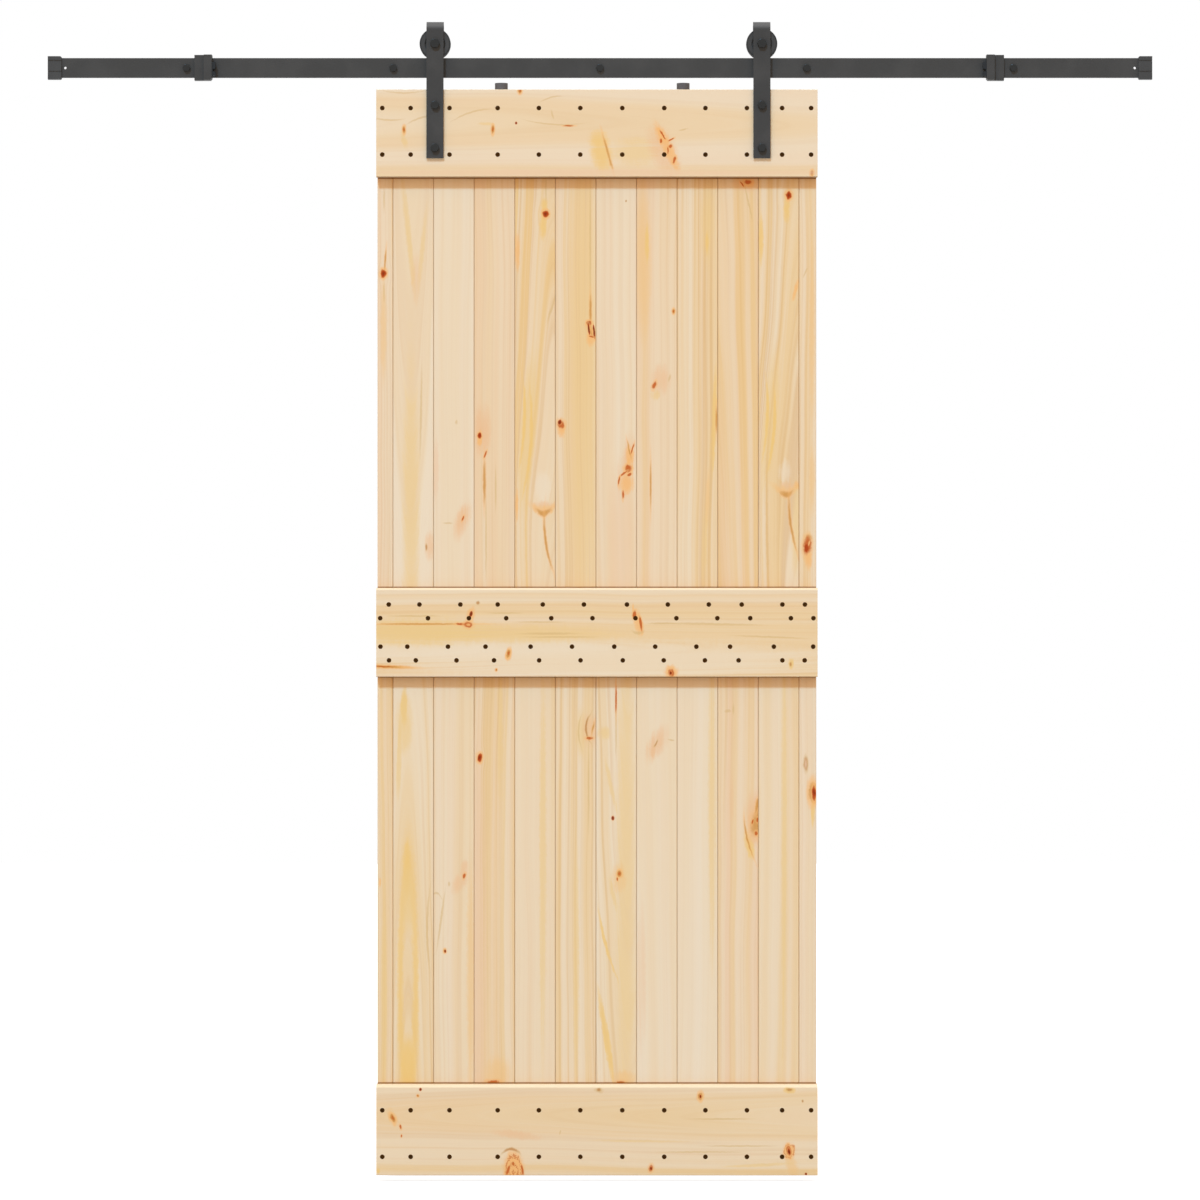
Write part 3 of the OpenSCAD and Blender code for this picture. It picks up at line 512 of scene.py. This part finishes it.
# %% Places of the marks
MARKS = {
    "plank_upper_01": [
        (383.5, 330, 6, 90, 0, "glow"),
        (385.2, 260, 1.8, 22, 0.08, "resin"),
        (384, 292, 1.5, 20, 0, "thread"),
        (384, 199, 1.6, 26, 0, "thread"),
        (383.5, 273.4, 5, 7.4, 0, "knot"),
    ],
    "plank_upper_02": [
        (409, 240, 5, 110, -0.11, "honey"),
        (423, 245, 5, 90, 0.1, "honey"),
        (416, 280, 9, 44, 0, "haze"),
        (411, 520, 14, 330, 0, "honey"),
        (421, 410, 2.4, 90, 0.02, "thread"),
        (429.5, 546, 8, 24, 0, "smudge"),
        (426.4, 547, 1.8, 6, 0, "tan"),
    ],
    "plank_upper_03": [
        (462, 521, 13, 32, 0.25, "smudge"),
        (463, 517, 9, 22, 0.25, "smudge"),
        (448, 523, 9, 2, 0, "thread"),
        (462.9, 518.6, 2, 5, 0.4, "rust"),
        (456.5, 422, 2.6, 5, 0, "thread"),
        (436, 470, 5, 60, 0, "rose"),
    ],
    "plank_upper_04": [
        (483, 430, 15, 46, 0, "smudge"),
        (482, 434, 10, 36, 0, "smudge"),
        (480, 441, 5, 8, 0, "amber"),
        (479.8, 435.7, 3.4, 6, 0, "knot"),
        (484.4, 482, 2.8, 44, 0, "resin"),
        (485.3, 454, 1.8, 7, 0.4, "rust"),
        (486, 540, 1.8, 80, 0, "thread"),
        (495.7, 488, 1.8, 44, 0, "thread"),
    ],
    "plank_upper_05": [
        (517.5, 253, 5, 36, 0, "amber"),
        (544.6, 205, 6, 14, 0, "gold"),
        (543, 225, 6, 26, 0, "gold"),
        (546, 190, 1.6, 26, 0, "thread"),
        (552, 307, 2.4, 30, 0.3, "thread"),
        (545.5, 214, 5.4, 6.8, 0, "knot"),
        (544, 500, 24, 90, 0, "bend"),
        (527, 430, 14, 120, 0.08, "honey"),
        (524.5, 420, 3, 84, 0.03, "gold", -3),
        (531, 440, 3, 100, 0.06, "gold", -4),
        (516.8, 505, 3, 30, 0, "amber"),
        (543, 488, 14, 30, 0, "pale"),
        (543.4, 507, 20, 10, 0, "smudge"),
        (543.4, 511, 27, 9, 0, "glow", 6),
        (543.4, 513.4, 15, 6, 0, "resin", 4),
        (545.8, 542, 2.4, 54, -0.15, "resin", 2.3),
    ],
    "plank_upper_06": [
        (584.5, 385, 26, 460, 0, "honey"),
        (590.3, 245, 1.8, 120, 0, "thread"),
        (590.5, 310, 2.4, 30, 0, "resin"),
        (590.8, 338, 8, 16, 0, "amber"),
        (589, 323, 4.4, 4.4, 0, "knot"),
        (590.5, 330, 6, 12, -0.3, "resin"),
        (588.8, 329, 1.6, 11, -0.1, "speck"),
        (591.6, 330, 2.2, 9, -0.3, "amber"),
        (594, 331, 1.6, 12, -0.1, "speck"),
        (591.6, 336.6, 5, 1.8, -0.2, "rust"),
        (561.4, 429, 8, 16, 0, "amber"),
        (561, 424.5, 7, 8, 0, "rust"),
        (559.8, 422, 3, 4, 0, "speck"),
    ],
    "plank_upper_07": [
        (622, 540, 26, 130, 0, "haze"),
        (627, 466, 13, 50, 0.12, "smudge"),
        (626, 484, 15, 18, 0, "amber"),
        (629.8, 455, 8, 18, 0, "amber"),
        (628.3, 468.4, 8.4, 9, 0, "amber"),
        (628.2, 468.4, 6.6, 7.4, 0, "rust"),
        (623.7, 473.7, 7, 2.4, 0.7, "rust"),
        (629.7, 474.4, 4.4, 3, 0.3, "rust"),
        (629.3, 450, 1.6, 17, -0.24, "resin"),
        (632.4, 449, 1.6, 11, 0.3, "rust"),
        (628.5, 461, 3, 6, 0, "amber"),
        (619, 481, 1.6, 8, 0.2, "rust"),
        (623, 495, 2.2, 9, 0, "rust"),
        (626, 201, 1.4, 2, 0, "tan"),
    ],
    "plank_upper_08": [
        (643.5, 262, 14, 130, 0, "glow"),
        (647, 243, 4, 36, 0, "gold"),
        (661, 380, 17, 26, 0, "smudge"),
        (656, 395, 9, 8, 0, "honey"),
        (669.4, 378, 2.4, 8, 0.2, "thread"),
        (654.4, 385, 4, 8, 0.25, "rust"),
        (673.6, 311, 2.6, 4.6, 0, "bud"),
        (650.7, 485, 1.6, 46, 0, "resin"),
    ],
    "plank_upper_09": [
        (707, 222, 11, 80, 0, "honey"),
        (707, 243, 3.4, 22, 0, "gold"),
        (713.5, 425, 5, 100, 0.04, "gold"),
        (716.4, 420, 1.8, 26, 0, "resin"),
        (707.4, 500, 4.6, 52, 0.04, "glow"),
        (704, 550, 5, 80, 0.03, "honey"),
    ],
    "plank_upper_10": [
        (746, 183, 22, 15, 0, "smudge"),
        (747, 183, 15, 9, 0, "amber"),
        (748, 182, 7, 4.4, 0, "rust"),
        (742, 184, 2, 6, -0.6, "rust"),
        (748.5, 203, 2, 34, -0.22, "thread"),
    ],
    "plank_upper_11": [
        (761, 240, 5, 46, 0, "gold"),
        (786.4, 209, 6, 26, 0, "gold"),
        (788.6, 195.3, 5.2, 7, 0, "knot"),
        (795.5, 290, 4, 20, 0.25, "amber"),
        (788, 484, 24, 90, 0, "bend"),
        (770, 420, 12, 120, 0.08, "honey"),
        (767.5, 415, 3, 80, 0.03, "gold", -3),
        (774, 430, 3, 90, 0.08, "gold", -4),
        (785, 472, 14, 26, 0, "pale"),
        (788, 487, 20, 10, 0, "smudge"),
        (788, 491, 30, 9, 0.05, "glow", 6),
        (797, 485, 7, 9, 0, "amber"),
        (786.6, 494.6, 13, 6, 0.05, "resin", 3),
        (796, 522, 8, 90, 0, "honey"),
        (790.6, 524, 2.4, 52, -0.14, "resin", 2),
    ],
    "plank_upper_12": [
        (812, 330, 5, 160, 0, "glow"),
        (805.5, 272, 1.8, 9, 0.5, "thread"),
        (812, 480, 5, 60, 0, "glow"),
        (808.5, 560, 7, 18, 0, "amber"),
        (808.6, 537.6, 6, 5, 0, "tan"),
        (807.2, 545.8, 8, 17, 0.05, "rust"),
        (806.4, 548, 4, 8, 0, "core"),
        (809.2, 543.4, 1.6, 5, 0.2, "amber"),
    ],
    "plank_lower_01": [(380, 882, 2, 9, 0, "amber"), (384, 1000, 5, 160, 0, "honey")],
    "plank_lower_02": [
        (404.2, 708, 6, 34, 0, "gold"),
        (404.4, 724, 13, 44, 0, "honey"),
        (399, 760, 4, 60, 0.03, "honey"),
        (408, 986, 19, 276, 0, "loop"),
        (407, 866, 7, 50, 0, "gold"),
        (407.5, 896, 12, 60, 0, "honey"),
        (408, 1066, 12, 54, 0, "gold"),
        (427, 930, 2.4, 84, 0, "thread", 3),
    ],
    "plank_lower_03": [
        (436, 893, 13, 2.4, 0, "thread", -7),
        (441, 920, 2.2, 60, 0.14, "thread"),
        (470.5, 985, 7, 210, 0, "glow"),
        (460, 882, 12, 20, 0.3, "smudge"),
        (463.8, 868, 7, 14, 0.1, "smudge"),
        (449, 884, 2.2, 5, 0, "thread"),
        (464.2, 875.8, 2.8, 5.4, 0.2, "rust"),
        (444.8, 951, 2.6, 4, 0, "bud"),
        (445.2, 951.2, 1.6, 2.6, 0, "speck"),
    ],
    "plank_lower_04": [
        (478, 960, 16, 440, 0, "rose"),
        (500.5, 730, 5, 140, 0, "honey"),
        (498, 1074, 22, 30, 0, "glow"),
        (479.6, 757.8, 4.4, 7.4, 0, "knot"),
        (493.2, 1082.5, 12, 5, 0, "rust"),
    ],
    "plank_lower_05": [(543, 860, 6, 330, 0, "honey")],
    "plank_lower_06": [
        (581, 734, 9, 40, 0, "honey"),
        (590.5, 730, 15, 28, 0, "smudge"),
        (586, 728, 1.8, 24, 0, "tan", 3),
        (589.5, 738, 7, 3, 0, "rust"),
        (593, 728, 2, 12, 0.2, "resin"),
        (578.5, 732, 1.8, 34, 0, "thread", 3),
        (588.6, 786, 1.6, 90, 0, "thread"),
        (576, 960, 5, 220, 0, "honey"),
    ],
    "plank_lower_07": [
        (626, 880, 16, 420, 0, "honey"),
        (604, 733, 12, 10, 0, "honey"),
        (616, 700, 1.6, 30, 0, "rust"),
        (616, 735, 1.8, 46, 0, "thread"),
        (611, 786, 4, 42, -0.2, "honey"),
        (619, 878, 12, 26, 0, "glow"),
        (619.6, 873.6, 4.6, 5.6, 0, "bud"),
        (617.4, 879, 1.6, 4, 0, "rust"),
        (612.8, 818, 2.6, 3.8, 0, "speck"),
        (613, 894, 4, 26, -0.2, "honey"),
        (605.6, 944, 3, 66, -0.27, "gold", 2),
        (606, 1036, 6, 90, -0.17, "gold"),
        (624, 1078, 20, 14, 0, "glow"),
        (620.7, 1082.6, 8, 3.4, 0, "rust"),
    ],
    "plank_lower_08": [
        (658, 742, 17, 30, 0.35, "haze"),
        (655, 746, 13, 28, 0.3, "smudge"),
        (653.5, 750, 5, 12, 0.3, "smudge"),
        (656, 743.4, 1.8, 6, 0.5, "tan"),
        (671, 740, 7, 2, -0.2, "thread"),
        (641, 980, 9, 130, 0, "haze"),
    ],
    "plank_lower_09": [(712, 800, 7, 260, 0, "honey")],
    "plank_lower_10": [
        (731.6, 799, 4, 44, 0, "haze"),
        (727.9, 711, 6, 3.4, 0, "thread"),
        (733.4, 709, 1.8, 12, 0, "thread"),
        (749.5, 846, 8, 24, -0.25, "gold"),
        (757, 817, 20, 44, 0, "smudge"),
        (757, 820, 15, 40, 0, "smudge"),
        (756, 823, 10, 26, 0.15, "resin"),
        (757, 806, 3, 14, 0.2, "resin"),
        (756.2, 833, 3, 4.4, 0, "rust"),
        (757.4, 820, 2, 5, 0, "rust"),
        (752.6, 822, 1.8, 5, 0.2, "rust"),
        (747, 838, 1.8, 36, -0.24, "resin", 1.5),
    ],
    "plank_lower_11": [(784, 860, 5, 380, 0, "honey")],
    "plank_lower_12": [
        (805.8, 764, 4, 13, 0, "tan"),
        (805.8, 764, 2, 8, 0, "rose"),
        (813, 812, 4, 30, 0, "gold"),
        (813, 792.5, 8, 19, 0, "bud"),
        (814, 793, 4, 12, 0, "knot"),
    ],
    "board_top": [
        (520, 91, 3.6, 5, 0, "bud"),
        (404, 140, 5, 14, -0.3, "honey"),
        (404, 129.8, 2.8, 7, 0, "bud"),
        (487, 123.8, 14, 3, 0, "honey"),
        (492.8, 129.5, 2.8, 8, 0, "bud"),
        (516.2, 123, 1.8, 2.4, 0, "speck"),
        (568.6, 125.8, 10, 1.5, 0, "rust"),
        (555, 124.5, 60, 1.6, -0.05, "thread", 3),
        (472, 112, 42, 2, 0.3, "thread", -3.5),
        (388, 120, 30, 2, -0.05, "thread", 1.5),
        (420, 118, 26, 2, 0.3, "thread", -2),
        (404, 93, 40, 1.8, 0, "thread", 2),
        (552, 97, 22, 1.8, 0.25, "thread", -2),
        (552.5, 114.5, 2, 9, -0.3, "thread"),
        (601, 151, 20, 40, -0.15, "gold"),
        (608, 153, 2.4, 34, -0.28, "resin"),
        (636, 152, 44, 24, 0, "honey"),
        (663, 150, 24, 44, -0.3, "smudge"),
        (667, 147, 11, 46, -0.45, "amber"),
        (661, 135, 5, 14, -0.5, "amber"),
        (662.8, 135, 1.8, 9, -0.7, "rust"),
        (661, 140.7, 2.4, 5, 0, "rust"),
        (671, 139.5, 6, 1.8, 0.5, "rust"),
        (670.6, 146, 3.6, 3.6, 0, "rust"),
        (674.4, 160, 3, 7, 0.2, "rust"),
        (668, 150, 1.6, 8, 0, "rust"),
        (683.4, 129.5, 9, 1.6, 0.2, "thread"),
        (812, 173, 3.4, 5, 0, "bud"),
        (600, 172.5, 440, 6, 0, "rose"),
    ],
    "board_middle": [
        (600, 660, 440, 36, 0, "pale"),
        (420, 630, 120, 26, 0, "honey"),
        (410, 632, 110, 20, 0, "honey"),
        (520, 634, 170, 14, 0, "honey"),
        (422, 624, 92, 1.8, 0, "resin"),
        (461, 624, 10, 2.4, 0, "rust"),
        (470.6, 615, 8, 15, 0.2, "amber"),
        (471, 613.8, 2.6, 5, 0.25, "speck"),
        (468.4, 624.6, 8, 6, 0, "rust"),
        (468.4, 624.6, 4, 2.6, 0, "amber"),
        (414, 616, 50, 1.8, 0, "thread"),
        (505, 613, 36, 1.6, 0, "thread"),
        (549, 633.6, 56, 2.4, 0, "thread"),
        (540, 622, 46, 1.6, 0, "thread"),
        (560, 637, 70, 1.6, 0, "thread"),
        (508.4, 654, 6, 12, 0.1, "amber"),
        (508.4, 653, 3.4, 8, 0.2, "bud"),
        (496.3, 669.8, 2, 2.6, 0, "bud"),
        (388, 666.8, 46, 3.4, -0.03, "resin"),
        (384, 666.6, 34, 2, -0.03, "bud"),
        (478, 603, 2.6, 3, 0, "tan"),
        (638, 622, 9, 22, -0.2, "amber"),
        (633, 608, 1.8, 10, 0, "amber"),
        (634.6, 614.6, 4, 7, 0, "rust"),
        (640.6, 622.6, 2.6, 14, -0.15, "rust"),
        (638, 633, 12, 3, 0, "thread", 2),
        (661, 623.5, 26, 1.8, 0, "thread"),
        (710, 624, 100, 2.4, -0.02, "thread"),
        (770, 637, 70, 1.8, -0.04, "thread"),
        (671.4, 672, 13, 12, 0, "amber"),
        (671, 672.8, 6, 7, 0, "rust"),
        (670.6, 673, 2, 3, 0, "speck"),
        (791.3, 663.4, 5, 10, 0, "gold"),
        (790.6, 664, 2, 4, 0, "tan"),
    ],
    "board_bottom": [
        (420.4, 1089.6, 2.4, 2.4, 0, "speck"),
        (417.8, 1095.8, 2.2, 2.4, 0, "bud"),
        (392.2, 1117, 8, 15, -0.35, "glow"),
        (392.8, 1118.4, 4, 8, -0.35, "bud"),
        (400.5, 1127, 2.4, 4.6, -0.2, "rust"),
        (401.4, 1136, 1.5, 3, 0, "rust"),
        (378.5, 1171, 3, 6, 0, "gold"),
        (517, 1135, 44, 7, -0.1, "smudge"),
        (560.2, 1132.4, 1.6, 5, 0.2, "thread"),
        (513.6, 1171, 19, 38, 0, "amber"),
        (513.6, 1173, 18, 42, 0, "eye"),
        (511, 1149, 15, 2.6, 0, "tan", -3),
        (513.2, 1163.5, 2.4, 4, 0, "rust"),
        (508, 1170.5, 3, 9, 0.3, "rust"),
        (522.4, 1170, 2.2, 10, -0.2, "rust"),
        (599, 1090.6, 10, 5, 0, "thread"),
        (598.6, 1090, 4, 3, 0, "tan"),
        (700.3, 1096, 4.4, 7, 0, "bud"),
        (700.5, 1096.4, 1.8, 3, 0, "speck"),
        (789.5, 1090.2, 11, 6, 0, "gold"),
        (789.5, 1089.6, 5, 3, 0, "tan"),
        (802.6, 1101, 1.8, 2.4, 0, "tan"),
        (792, 1166, 10, 26, -0.3, "glow"),
        (789, 1151, 12, 16, 0, "eye"),
        (788.8, 1150.6, 5, 10, -0.1, "rust"),
        (789, 1151.4, 2.2, 5, -0.1, "speck"),
        (805.9, 1174, 2, 2.4, 0, "speck"),
        (650.8, 1168, 4.4, 6.6, 0.1, "rust"),
        (651, 1168.4, 1.8, 3, 0, "speck"),
        (740, 1146, 70, 1.8, 0, "thread"),
        (700, 1152, 90, 1.8, 0, "thread"),
        (720, 1119, 60, 1.8, 0, "thread"),
        (640, 1141, 90, 2.4, -0.02, "honey"),
        (760, 1165, 60, 3, 0.05, "honey"),
    ],
}


def marks_of(name):
    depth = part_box(name)[0].y
    size = pixel_size(depth)
    found = []
    for px, py, wide, high, lean, kind, *bow in MARKS.get(name, []):
        spot_x, spot_z = from_pixel(px, py, depth)
        half_x, half_z = wide / 2 * size, high / 2 * size
        found.append(Mark(spot_x, spot_z, half_x, half_z, lean, kind, sum(bow) * size))
    return found


print("marks:", sum(len(marks) for marks in MARKS.values()), "on", len(MARKS), "pieces of wood")

# %% [markdown]
# ### Planks and boards
# Every plank and board gets its own look and its own seed, so no two pieces show the same grain.
# The looks are in order from left to right.

# %% Wood for every piece
LOOKS = {
    "upper": (
        (0.40, 0.5, 0.25, 60, 0.10, 0.03, 0.00),
        (0.15, 0.0, 0.12, 60, -0.005, 0.04, -0.045),
        (0.07, 0.0, 0.06, 45, 0.09, 0.05, 0.01),
        (0.35, 0.5, 0.15, 50, 0.14, 0.03, 0.00),
        (0.90, 0.1, 0.38, 120, 0.030, 0.03, 0.040),
        (0.50, 0.3, 0.30, 70, -0.16, 0.02, 0.00),
        (0.20, 0.1, 0.12, 45, -0.10, 0.05, 0.01),
        (0.60, 0.5, 0.15, 50, 0.11, 0.04, 0.02),
        (0.50, 0.1, 0.40, 90, -0.12, 0.04, 0.00),
        (0.90, 0.7, 0.25, 70, -0.06, 0.06, 0.03),
        (0.55, 0.0, 0.45, 120, 0.035, 0.03, 0.040),
        (0.55, 0.4, 0.30, 70, -0.10, 0.03, 0.01),
    ),
    "lower": (
        (0.75, 0.2, 0.30, 60, 0.10, 0.03, 0.00),
        (0.50, 0.0, 0.30, 70, -0.015, 0.04, 0.030),
        (0.32, 0.1, 0.18, 50, 0.10, 0.05, 0.01),
        (0.60, 0.3, 0.30, 70, 0.14, 0.03, 0.00),
        (0.62, 0.1, 0.10, 50, 0.10, 0.05, 0.00),
        (0.50, 0.2, 0.30, 70, -0.13, 0.03, 0.00),
        (0.30, 0.0, 0.30, 80, 0.020, 0.05, -0.030),
        (0.12, 0.0, 0.03, 45, -0.10, 0.05, 0.02),
        (0.08, 0.0, 0.06, 45, 0.09, 0.05, 0.01),
        (0.52, 0.7, 0.22, 60, 0.12, 0.05, 0.01),
        (0.45, 0.1, 0.05, 50, -0.14, 0.04, 0.00),
        (0.15, 0.2, 0.15, 50, -0.10, 0.03, 0.00),
    ),
}
BOARD_LOOKS = {
    "board_top": (0.32, 0.1, 0.10, 40, 0.02, 0.06, 0.02),
    "board_middle": (0.52, 0.2, 0.20, 50, -0.03, 0.05, 0.01),
    "board_bottom": (0.72, 0.3, 0.22, 45, 0.03, 0.06, -0.02),
}
SEEDS_UP_TO = 90
dice = random.Random(11)
for half, looks in LOOKS.items():
    for index, look in enumerate(looks, start=1):
        name = f"plank_{half}_{index:02d}"
        wear(pine(name, True, dice.uniform(0, SEEDS_UP_TO), look, marks_of(name)), name)
for name, look in BOARD_LOOKS.items():
    wear(pine(name, False, dice.uniform(0, SEEDS_UP_TO), look, marks_of(name)), name)
print("pine on", len(bpy.data.materials), "materials")


# %% [markdown]
# ## Powder-coated steel
# The track, stops and straps are steel under a matte grey powder coat. Powder melts into a film
# with a faint orange-peel, so a fine bump breaks the highlight, and shade and roughness change a
# little from patch to patch. A texture is the number of bumps in a metre and their height. A
# function given last may paint over the colour before it reaches the shader: a painted highlight
# on the straps, a darker rim on the wheels.

# %% Coated steel
POWDER = (900.0, 0.00003)
PATCHES_PER_METRE = 18.0
PATCH_LIGHTER = 1.25
PATCH_SMOOTHER = 0.04
PATCH_ROUGHER = 0.05
PEEL_STRENGTH = 0.4
COAT_GLOSS = 0.35


def coated(name, colour, roughness, texture=POWDER, gloss=COAT_GLOSS, metallic=0.0, overpaint=None):
    material, shader, place = new_material(name)
    bumps_per_metre, height = texture
    peel = speckle(place, bumps_per_metre, 2.0)
    patch = speckle(place, PATCHES_PER_METRE, 3.0)
    lighter = tuple(min(1.0, part * PATCH_LIGHTER) for part in colour[:3]) + (1.0,)
    shade = place.blend(colour, lighter, patch.ease(0.4, 0.7))
    shade = overpaint(shade, place) if overpaint else shade
    relief = {"Height": peel, "Strength": PEEL_STRENGTH, "Distance": height}
    bump = place.node("Bump", None, relief)
    rough = patch.ease(0.3, 0.7, roughness - PATCH_SMOOTHER, roughness + PATCH_ROUGHER)
    connect(shader, Base_Color=shade, Roughness=rough, Normal=bump)
    shader.inputs["Specular IOR Level"].default_value = gloss
    shader.inputs["Metallic"].default_value = metallic
    return material


# %% [markdown]
# The bend on top of a hanger strap looks lighter than the rest: a lighter grey is painted as a
# highlight where the surface looks upward. A sharper highlight could do this too, but it would turn
# blue under the cool lamp.

# %% Track, straps and bolts
TRACK_GREY = (0.038, 0.035, 0.031, 1.0)
STRAP_GREY = (0.049, 0.0465, 0.043, 1.0)
CROWN_HIGHLIGHT_GREY = (0.118, 0.112, 0.104, 1.0)
BOLT_GREY = (0.010, 0.009, 0.007, 1.0)


def painted_crown_highlight(shade, place):
    # painted highlight where the strap looks upward
    return shade.paint(CROWN_HIGHLIGHT_GREY, upward(place).ease(0.05, 0.6))


track_steel = coated("track_steel", TRACK_GREY, 0.52)
strap_steel = coated("strap_steel", STRAP_GREY, 0.68, gloss=0.2, overpaint=painted_crown_highlight)
bolt_steel = coated("bolt_steel", BOLT_GREY, 0.42)
wear(track_steel, "track_rail", "rail_stop_left", "rail_stop_right", "rail_spacers")
wear(strap_steel, "hanger_strap_left", "hanger_strap_right")
wear(bolt_steel, "wall_bolts", "stop_screws", "door_bolts", "door_washers", "door_nuts")
wear(bolt_steel, "axle_bolts", "axle_nuts", "axle_sleeves")
print("coated steel:", track_steel.name, strap_steel.name, bolt_steel.name)


# %% [markdown]
# ## Wheels
# A wheel is turned from one piece, and its rim looks darker than the part round the axle. The
# distance from the axle tells where the rim begins, so each wheel has a material of its own.

# %% Wheels
TURNED = (700.0, 0.00002)
WHEEL_GREY = (0.042, 0.040, 0.037, 1.0)
RIM_GREY = (0.006, 0.006, 0.005, 1.0)
RIM_BEGINS = 0.86
RIM_FULL = 0.95


def dark_rim(name):
    low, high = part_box(name)
    outer = (high.x - low.x) / 2

    def shaded(shade, place):
        x, _, z = axes(place)
        right, up = x - (low.x + high.x) / 2, z - (low.z + high.z) / 2
        radius = place.math("SQRT", right * right + up * up)
        return shade.paint(RIM_GREY, radius.ease(outer * RIM_BEGINS, outer * RIM_FULL, 0, 0.8))

    return shaded


for name in ("wheel_left", "wheel_right"):
    wear(coated(name, WHEEL_GREY, 0.42, TURNED, overpaint=dark_rim(name)), name)
print("wheels:", WHEEL_GREY[:3], "with rims of", RIM_GREY[:3])

# %% [markdown]
# ## Plastic, rubber, wood screws and bright steel
# End caps and anti-jump discs are moulded plastic with a fine spark texture, the bumpers are
# black rubber, the wood screws are dull and nearly black, and the bearings are bare ground steel.
# They differ from a powder coat only in numbers, so they are made by the same function.

# %% Small finishes
SPARKED = (1600.0, 0.00004)
MATTE = (1200.0, 0.00005)
DULL = (1500.0, 0.00002)
GROUND = (900.0, 0.00001)
CAP_GREY = (0.042, 0.040, 0.037, 1.0)
DISC_GREY = (0.094, 0.085, 0.081, 1.0)
RUBBER_BLACK = (0.01, 0.01, 0.01, 1.0)
SCREW_BLACK = (0.056, 0.020, 0.001, 1.0)
BRIGHT_STEEL = (0.55, 0.56, 0.57, 1.0)
cap_plastic = coated("cap_plastic", CAP_GREY, 0.5, SPARKED)
disc_plastic = coated("disc_plastic", DISC_GREY, 0.5, SPARKED)
bumper_rubber = coated("bumper_rubber", RUBBER_BLACK, 0.7, MATTE)
screw_black = coated("screw_black", SCREW_BLACK, 0.5, DULL, gloss=0.1)
bearing_steel = coated("bearing_steel", BRIGHT_STEEL, 0.28, GROUND, metallic=1.0)
wear(cap_plastic, "end_cap_left", "end_cap_right")
wear(disc_plastic, "anti_jump_disc_left", "anti_jump_disc_right")
wear(bumper_rubber, "stop_bumper_left", "stop_bumper_right")
wear(screw_black, "top_board_screws", "middle_board_screws", "bottom_board_screws", "disc_screws")
for part in ("inner", "outer", "balls"):
    wear(bearing_steel, f"bearing_{part}_left", f"bearing_{part}_right")
print("finishes:", len(bpy.data.materials))


# %% [markdown]
# ## Studio
# The photograph has a plain white ground, but the light that suits the wood isn't plain white. So
# rays that come straight from the camera, by a mirror or through glass see white, and only the
# other rays see the colours of the room.

# %% Rays that see white
def seen_directly(wire):
    rays = ("Is Camera Ray", "Is Glossy Ray", "Is Transmission Ray")
    camera_ray, glossy_ray, glass_ray = (wire.node("LightPath", out=ray) for ray in rays)
    return wire.math("MAXIMUM", wire.math("MAXIMUM", camera_ray, glossy_ray), glass_ray)


# %% [markdown]
# The floor is a large square just under the door. A white sheet would do, but lamp and room would
# have to light it evenly. This one glows for the camera, so that it melts into the white ground,
# and is a dull grey for all other light.

# %% Floor
FLOOR_GLOW = (0.75, 0.75, 0.75, 1)
FLOOR_GREY = (0.45, 0.45, 0.45, 1)
BLACK = (0, 0, 0, 1)
FLOOR_GAP = 0.012
FLOOR_SPAN = 12.0
FLOOR_ROUGHNESS = 0.9
floor_z = door_bottom - FLOOR_GAP
corners = [(-1, -1), (1, -1), (1, 1), (-1, 1)]
floor_mesh = bpy.data.meshes.new("floor")
floor_mesh.from_pydata(
    [(FLOOR_SPAN * right, FLOOR_SPAN * back, floor_z) for right, back in corners],
    [],
    [(0, 1, 2, 3)],
)
floor = bpy.data.objects.new("floor", floor_mesh)
bpy.context.scene.collection.objects.link(floor)
floor_paint, floor_shader, floor_place = new_material("floor")
floor_shader.inputs["Base Color"].default_value = FLOOR_GREY
floor_shader.inputs["Roughness"].default_value = FLOOR_ROUGHNESS
floor_shader.inputs["Specular IOR Level"].default_value = 0.0
floor_shader.inputs["Emission Strength"].default_value = 1.0
glow = floor_place.blend(BLACK, FLOOR_GLOW, seen_directly(floor_place))
connect(floor_shader, Emission_Color=glow)
floor_mesh.materials.append(floor_paint)
print("floor at", round(floor_z, 4))

# %% [markdown]
# The boards' shadows look warm, because warm light from the room in front fills them. Behind the
# door the room is plain white, which keeps the colour of the wood on the back.

# %% Room
FILL_COLOUR = (1.01, 0.75, 0.52, 1)
BACK_COLOUR = (1.05, 1.05, 1.05, 1)
WHITE = (1, 1, 1, 1)
world = bpy.data.worlds.new("room")
bpy.context.scene.world = world
world.use_nodes = True
background = world.node_tree.nodes["Background"]
room = Wire(world.node_tree)
direction = room.node("TexCoord", out="Generated")
behind = room.node("SeparateXYZ", None, {0: direction}, out="Y").ease(-0.2, 0.4)
room_colour = room.blend(FILL_COLOUR, BACK_COLOUR, behind).paint(WHITE, seen_directly(room))
connect(background, Color=room_colour)
background.inputs["Strength"].default_value = 1.0
print("room: warm in front", FILL_COLOUR[:3], "and white behind", BACK_COLOUR[:3])

# %% [markdown]
# One broad lamp, high on the left, throws the soft shadow that lies under each cross board. Its
# colour is cool, so that together with the warm room it lights the faces of the wood in white.

# %% Lamp
KEY_COLOUR = (0.60, 1.04, 1.52)
KEY_ENERGY = 1.72
KEY_SOFTNESS = math.radians(7)
KEY_TILT = math.radians(40)
KEY_TURN = math.radians(-18)
lamp_data = bpy.data.lights.new("key", "SUN")
lamp_data.energy = KEY_ENERGY
lamp_data.color = KEY_COLOUR
lamp_data.angle = KEY_SOFTNESS
lamp = bpy.data.objects.new("key", lamp_data)
lamp.rotation_euler = (KEY_TILT, 0, KEY_TURN)
bpy.context.scene.collection.objects.link(lamp)
print("lamp of energy", KEY_ENERGY)
